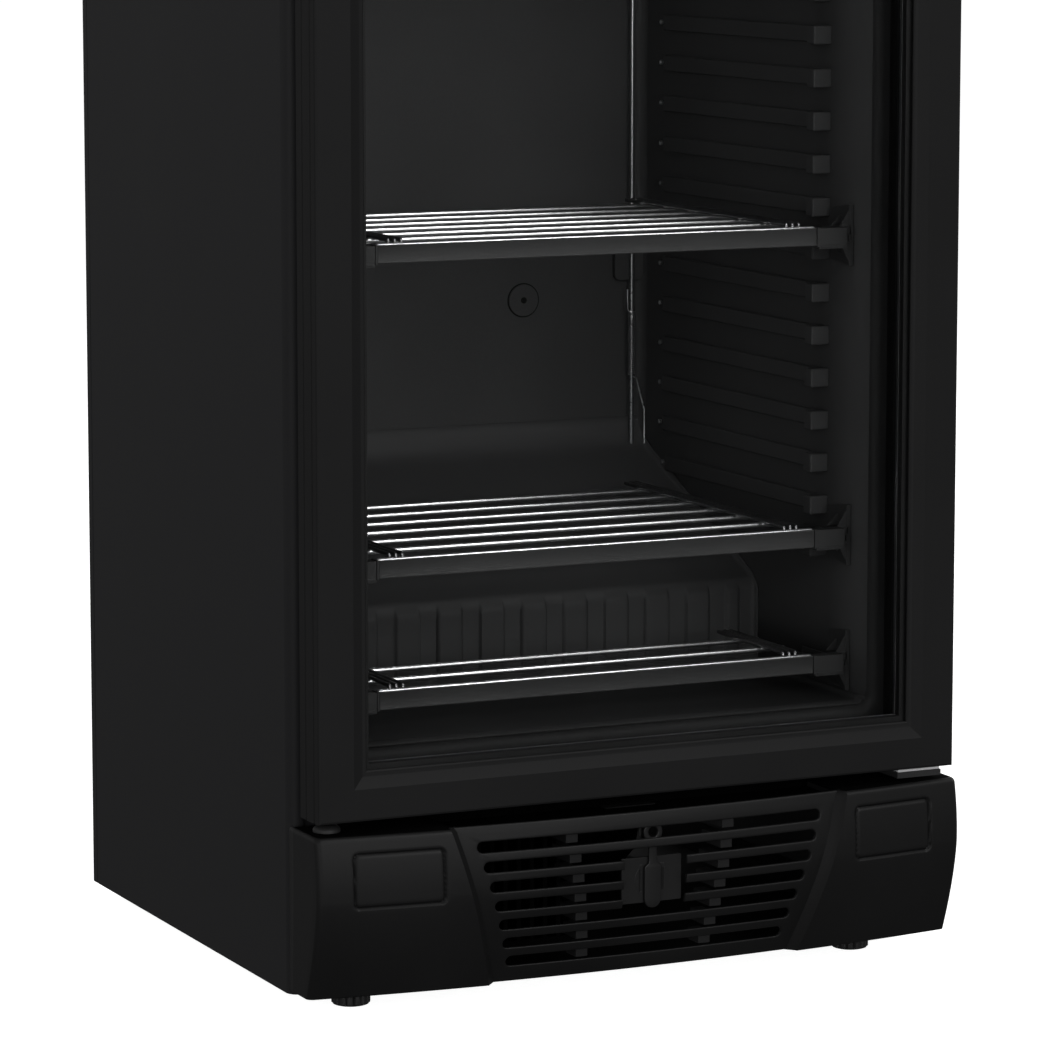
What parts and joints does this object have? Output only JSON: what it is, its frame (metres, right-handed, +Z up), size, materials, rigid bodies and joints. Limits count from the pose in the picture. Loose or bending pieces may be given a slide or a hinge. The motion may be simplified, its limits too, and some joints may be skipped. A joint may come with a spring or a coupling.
{
  "type": "glass door merchandiser",
  "caption": "Tall black display refrigerator with a hinged double-glazed door, wire shelves, ribbed inner step, curved kick panel with a slotted grille and levelling feet.",
  "frame": {"origin": "on the floor, under the middle of the whole object's bounding box", "axes": "+Z up, +Y from the door towards the back, +X to the right seen from the front"},
  "size_m": [0.6022, 0.5746, 1.98],
  "materials": {
    "cabinet_paint": "satin black powder coat with a fine even grain",
    "door_paint": "satin black coating on the door frame and header",
    "liner_plastic": "black vacuum-formed liner plastic",
    "galvanised_sheet": "zinc-coated steel sheet with a soft spangle",
    "kick_plastic": "black moulded plastic with a fine texture",
    "bracket_steel": "blackened steel plate",
    "cap_plastic": "light grey moulded cap",
    "bright_steel": "bright drawn steel rod and spring wire",
    "compressor_paint": "gloss black enamel",
    "coil_enamel": "condenser fins dipped in black enamel",
    "tray_paint": "black painted steel tray",
    "fan_plastic": "dark moulded fan plastic",
    "lamp_lens": "white diffusing lens",
    "clear_glass": "clear toughened glass",
    "spacer_plastic": "black warm-edge spacer bar",
    "seal_rubber": "black magnetic seal",
    "foot_plastic": "black fluted plastic",
    "chrome_wire": "bright chrome-plated wire",
    "shelf_plastic": "black moulded shelf rail and bracket plastic"
  },
  "bodies": {
    "cabinet": {"left_side_panel": "cabinet_paint", "right_side_panel": "cabinet_paint", "back_panel": "cabinet_paint", "top_panel": "cabinet_paint", "header_fascia": "door_paint", "liner_left_wall": "liner_plastic", "liner_right_wall": "liner_plastic", "liner_back_wall": "liner_plastic", "liner_ceiling": "liner_plastic", "liner_floor": "liner_plastic", "breaker_frame": "liner_plastic", "rod_clip": "liner_plastic", "wall_plug": "liner_plastic", "evaporator_cover": "liner_plastic", "insulated_deck": "galvanised_sheet", "base_tray": "tray_paint", "kick_left_wing": "kick_plastic", "kick_right_wing": "kick_plastic", "kick_grille": "kick_plastic", "latch_plate": "kick_plastic", "bottom_hinge_bracket": "bracket_steel", "top_hinge_bracket": "bracket_steel", "hinge_hole_cap": "cap_plastic", "corner_rod": "bright_steel", "rod_spring": "bright_steel", "compressor": "compressor_paint", "condenser_coil": "coil_enamel", "led_lamp": "lamp_lens"},
    "door": {"door_frame": "door_paint", "outer_glass": "clear_glass", "inner_glass": "clear_glass", "glass_spacer": "spacer_plastic", "door_gasket": "seal_rubber"},
    "latch_lever": {"latch_lever": "kick_plastic"},
    "condenser_fan": {"condenser_fan": "fan_plastic"},
    "evaporator_fan": {"evaporator_fan": "fan_plastic"},
    "front_left_foot": {"front_left_foot": "foot_plastic"},
    "front_right_foot": {"front_right_foot": "foot_plastic"},
    "rear_left_foot": {"rear_left_foot": "foot_plastic"},
    "rear_right_foot": {"rear_right_foot": "foot_plastic"},
    "shelf_1": {"shelf_1_wires": "chrome_wire", "shelf_1_front_rail": "shelf_plastic", "shelf_1_left_bracket": "shelf_plastic", "shelf_1_right_bracket": "shelf_plastic"},
    "shelf_2": {"shelf_2_wires": "chrome_wire", "shelf_2_front_rail": "shelf_plastic", "shelf_2_left_bracket": "shelf_plastic", "shelf_2_right_bracket": "shelf_plastic"},
    "shelf_3": {"shelf_3_wires": "chrome_wire", "shelf_3_front_rail": "shelf_plastic", "shelf_3_left_bracket": "shelf_plastic", "shelf_3_right_bracket": "shelf_plastic"},
    "shelf_4": {"shelf_4_wires": "chrome_wire", "shelf_4_front_rail": "shelf_plastic", "shelf_4_left_bracket": "shelf_plastic", "shelf_4_right_bracket": "shelf_plastic"},
    "shelf_5": {"shelf_5_wires": "chrome_wire", "shelf_5_front_rail": "shelf_plastic", "shelf_5_left_bracket": "shelf_plastic", "shelf_5_right_bracket": "shelf_plastic"}
  },
  "joints": [
    {"name": "door_hinge", "type": "hinge", "parent": "cabinet", "child": "door", "pos_m": [0.2775, -0.246, 0.1708], "axis": [0, 0, 1], "range_deg": [0, 110]},
    {"name": "latch_turn", "type": "hinge", "parent": "cabinet", "child": "latch_lever", "pos_m": [0, -0.2783, 0.1005], "axis": [0, 1, 0], "range_deg": [0, 90]},
    {"name": "condenser_fan_spin", "type": "hinge", "parent": "cabinet", "child": "condenser_fan", "pos_m": [-0.11, -0.076, 0.094], "axis": [0, 1, 0], "continuous": true},
    {"name": "evaporator_fan_spin", "type": "hinge", "parent": "cabinet", "child": "evaporator_fan", "pos_m": [0, 0.079, 1.862], "axis": [0, 1, 0], "continuous": true},
    {"name": "shelf_1_lift", "type": "slide", "parent": "cabinet", "child": "shelf_1", "axis": [0, 0, 1], "range_m": [0, 0.01]},
    {"name": "shelf_2_lift", "type": "slide", "parent": "cabinet", "child": "shelf_2", "axis": [0, 0, 1], "range_m": [0, 0.01]},
    {"name": "shelf_3_lift", "type": "slide", "parent": "cabinet", "child": "shelf_3", "axis": [0, 0, 1], "range_m": [0, 0.01]},
    {"name": "shelf_4_lift", "type": "slide", "parent": "cabinet", "child": "shelf_4", "axis": [0, 0, 1], "range_m": [0, 0.01]},
    {"name": "shelf_5_lift", "type": "slide", "parent": "cabinet", "child": "shelf_5", "axis": [0, 0, 1], "range_m": [0, 0.01]},
    {"name": "front_left_foot_screw", "type": "hinge", "parent": "cabinet", "child": "front_left_foot", "pos_m": [-0.2385, -0.191, 0], "axis": [0, 0, 1], "continuous": true},
    {"name": "front_right_foot_screw", "type": "hinge", "parent": "cabinet", "child": "front_right_foot", "pos_m": [0.2385, -0.191, 0], "axis": [0, 0, 1], "continuous": true},
    {"name": "rear_left_foot_screw", "type": "hinge", "parent": "cabinet", "child": "rear_left_foot", "pos_m": [-0.2385, 0.214, 0], "axis": [0, 0, 1], "continuous": true},
    {"name": "rear_right_foot_screw", "type": "hinge", "parent": "cabinet", "child": "rear_right_foot", "pos_m": [0.2385, 0.214, 0], "axis": [0, 0, 1], "continuous": true}
  ]
}
